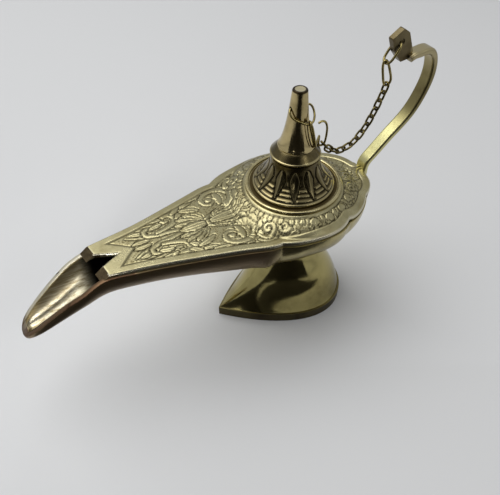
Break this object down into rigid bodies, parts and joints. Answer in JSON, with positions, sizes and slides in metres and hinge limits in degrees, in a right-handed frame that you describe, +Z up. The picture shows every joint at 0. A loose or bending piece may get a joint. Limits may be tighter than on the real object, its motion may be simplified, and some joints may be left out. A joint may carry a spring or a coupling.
{
  "type": "oil lamp",
  "caption": "Brass genie oil lamp with an open spout, engraved top plate, chained bell lid with a cone finial, strap handle and teardrop foot.",
  "frame": {"origin": "on the table under the axis of the lid, in the plane of the foot's base", "axes": "+Z up, -X towards the spout's tip, +X towards the handle"},
  "size_m": [0.1629, 0.053, 0.1111],
  "materials": {
    "bowl_brass": "cast and polished, aged",
    "engraved_brass": "cast with engraved scrolls, aged in the grooves",
    "seat_brass": "turned and polished",
    "lid_brass": "cast, aged in the grooves",
    "finial_brass": "turned and polished",
    "handle_brass": "bent strap, satin",
    "foot_brass": "cast and polished",
    "chain_brass": "wire, dark with age",
    "zinc_steel": "zinc plated"
  },
  "bodies": {
    "lamp": {"bowl": "bowl_brass", "top_plate": "engraved_brass", "seat_ring": "seat_brass", "handle": "handle_brass", "handle_rivets": "handle_brass", "foot": "foot_brass", "foot_screw": "zinc_steel", "foot_washer": "zinc_steel", "foot_nut": "zinc_steel"},
    "lid": {"lid": "lid_brass", "finial": "finial_brass", "finial_nut": "zinc_steel"},
    "finial_loop": {"finial_loop": "chain_brass"},
    "lid_hook": {"lid_hook": "chain_brass"},
    "lug_link": {"lug_link": "chain_brass"},
    "pear_link": {"pear_link": "chain_brass"},
    "chain_link_01": {"chain_link_01": "chain_brass"},
    "chain_link_02": {"chain_link_02": "chain_brass"},
    "chain_link_03": {"chain_link_03": "chain_brass"},
    "chain_link_04": {"chain_link_04": "chain_brass"},
    "chain_link_05": {"chain_link_05": "chain_brass"},
    "chain_link_06": {"chain_link_06": "chain_brass"},
    "chain_link_07": {"chain_link_07": "chain_brass"},
    "chain_link_08": {"chain_link_08": "chain_brass"},
    "chain_link_09": {"chain_link_09": "chain_brass"},
    "chain_link_10": {"chain_link_10": "chain_brass"},
    "chain_link_11": {"chain_link_11": "chain_brass"},
    "chain_link_12": {"chain_link_12": "chain_brass"},
    "chain_link_13": {"chain_link_13": "chain_brass"}
  },
  "joints": [
    {"name": "lid_lift", "type": "slide", "parent": "lamp", "child": "lid", "axis": [0, 0, 1], "range_m": [0, 0.012]},
    {"name": "lug_link_swing", "type": "hinge", "parent": "lamp", "child": "lug_link", "pos_m": [0.03809, 0, 0.10653], "axis": [0, -1, 0], "range_deg": [-13.8, 0.3]},
    {"name": "pear_link_swing", "type": "hinge", "parent": "lug_link", "child": "pear_link", "pos_m": [0.03373, 0, 0.10007], "axis": [0, -1, 0], "range_deg": [-0.3, 40.5]},
    {"name": "chain_link_01_swing", "type": "hinge", "parent": "pear_link", "child": "chain_link_01", "pos_m": [0.03657, 0, 0.09227], "axis": [0, -1, 0], "range_deg": [-39.7, 0.3]},
    {"name": "chain_link_02_swing", "type": "hinge", "parent": "chain_link_01", "child": "chain_link_02", "pos_m": [0.03549, 0, 0.08836], "axis": [0, -1, 0], "range_deg": [-0.3, 1.4]},
    {"name": "chain_link_03_swing", "type": "hinge", "parent": "chain_link_02", "child": "chain_link_03", "pos_m": [0.03482, 0, 0.08622], "axis": [0, -1, 0], "range_deg": [-2, 0.3]},
    {"name": "chain_link_04_swing", "type": "hinge", "parent": "chain_link_03", "child": "chain_link_04", "pos_m": [0.03345, 0, 0.0824], "axis": [0, -1, 0], "range_deg": [-0.3, 0.6]},
    {"name": "chain_link_05_swing", "type": "hinge", "parent": "chain_link_04", "child": "chain_link_05", "pos_m": [0.03259, 0, 0.08033], "axis": [0, -1, 0], "range_deg": [-1.9, 0.3]},
    {"name": "chain_link_06_swing", "type": "hinge", "parent": "chain_link_05", "child": "chain_link_06", "pos_m": [0.03076, 0, 0.07671], "axis": [0, -1, 0], "range_deg": [-2.1, 0.3]},
    {"name": "finial_loop_swing", "type": "hinge", "parent": "lid", "child": "finial_loop", "pos_m": [0, 0, 0.093], "axis": [-1, 0, 0], "range_deg": [-0.3, 3.3]},
    {"name": "lid_hook_swing", "type": "hinge", "parent": "finial_loop", "child": "lid_hook", "pos_m": [0.0019, -0.00494, 0.08855], "axis": [1, 0, 0], "range_deg": [-0.3, 3.3]},
    {"name": "chain_link_13_swing", "type": "hinge", "parent": "lid_hook", "child": "chain_link_13", "pos_m": [0.0112, 0, 0.0755], "axis": [0, -1, 0], "range_deg": [-29.3, 0.3]},
    {"name": "chain_link_12_swing", "type": "hinge", "parent": "chain_link_13", "child": "chain_link_12", "pos_m": [0.0137, 0, 0.07231], "axis": [0, -1, 0], "range_deg": [-0.3, 9.8]},
    {"name": "chain_link_11_swing", "type": "hinge", "parent": "chain_link_12", "child": "chain_link_11", "pos_m": [0.0154, 0, 0.07084], "axis": [0, -1, 0], "range_deg": [-1.5, 0.3]},
    {"name": "chain_link_10_swing", "type": "hinge", "parent": "chain_link_11", "child": "chain_link_10", "pos_m": [0.01907, 0, 0.06914], "axis": [0, -1, 0], "range_deg": [-5.3, 0.3]},
    {"name": "chain_link_09_swing", "type": "hinge", "parent": "chain_link_10", "child": "chain_link_09", "pos_m": [0.02132, 0, 0.06902], "axis": [0, -1, 0], "range_deg": [-0.3, 4.4]},
    {"name": "chain_link_08_swing", "type": "hinge", "parent": "chain_link_09", "child": "chain_link_08", "pos_m": [0.02514, 0, 0.07037], "axis": [0, -1, 0], "range_deg": [-2, 0.3]},
    {"name": "chain_link_07_swing", "type": "hinge", "parent": "chain_link_08", "child": "chain_link_07", "pos_m": [0.02693, 0, 0.07173], "axis": [0, -1, 0], "range_deg": [-0.3, 5.7]}
  ],
  "couplings": [
    {"joint": "lug_link_swing", "follows": "lid_lift", "rad_per_m": -19.55},
    {"joint": "pear_link_swing", "follows": "lid_lift", "rad_per_m": 58.326},
    {"joint": "chain_link_01_swing", "follows": "lid_lift", "rad_per_m": -57.185},
    {"joint": "chain_link_02_swing", "follows": "lid_lift", "rad_per_m": 1.5397},
    {"joint": "chain_link_03_swing", "follows": "lid_lift", "rad_per_m": -2.3867},
    {"joint": "chain_link_04_swing", "follows": "lid_lift", "rad_per_m": 0.40063},
    {"joint": "chain_link_05_swing", "follows": "lid_lift", "rad_per_m": -2.32},
    {"joint": "chain_link_06_swing", "follows": "lid_lift", "rad_per_m": -2.5566},
    {"joint": "finial_loop_swing", "follows": "lid_lift", "rad_per_m": 4.3633},
    {"joint": "lid_hook_swing", "follows": "lid_lift", "rad_per_m": 4.3633},
    {"joint": "chain_link_13_swing", "follows": "lid_lift", "rad_per_m": -42.076},
    {"joint": "chain_link_12_swing", "follows": "lid_lift", "rad_per_m": 13.783},
    {"joint": "chain_link_11_swing", "follows": "lid_lift", "rad_per_m": -1.6736},
    {"joint": "chain_link_10_swing", "follows": "lid_lift", "rad_per_m": -7.2005},
    {"joint": "chain_link_09_swing", "follows": "lid_lift", "rad_per_m": 5.8285},
    {"joint": "chain_link_08_swing", "follows": "lid_lift", "rad_per_m": -2.4238},
    {"joint": "chain_link_07_swing", "follows": "lid_lift", "rad_per_m": 7.8017}
  ]
}
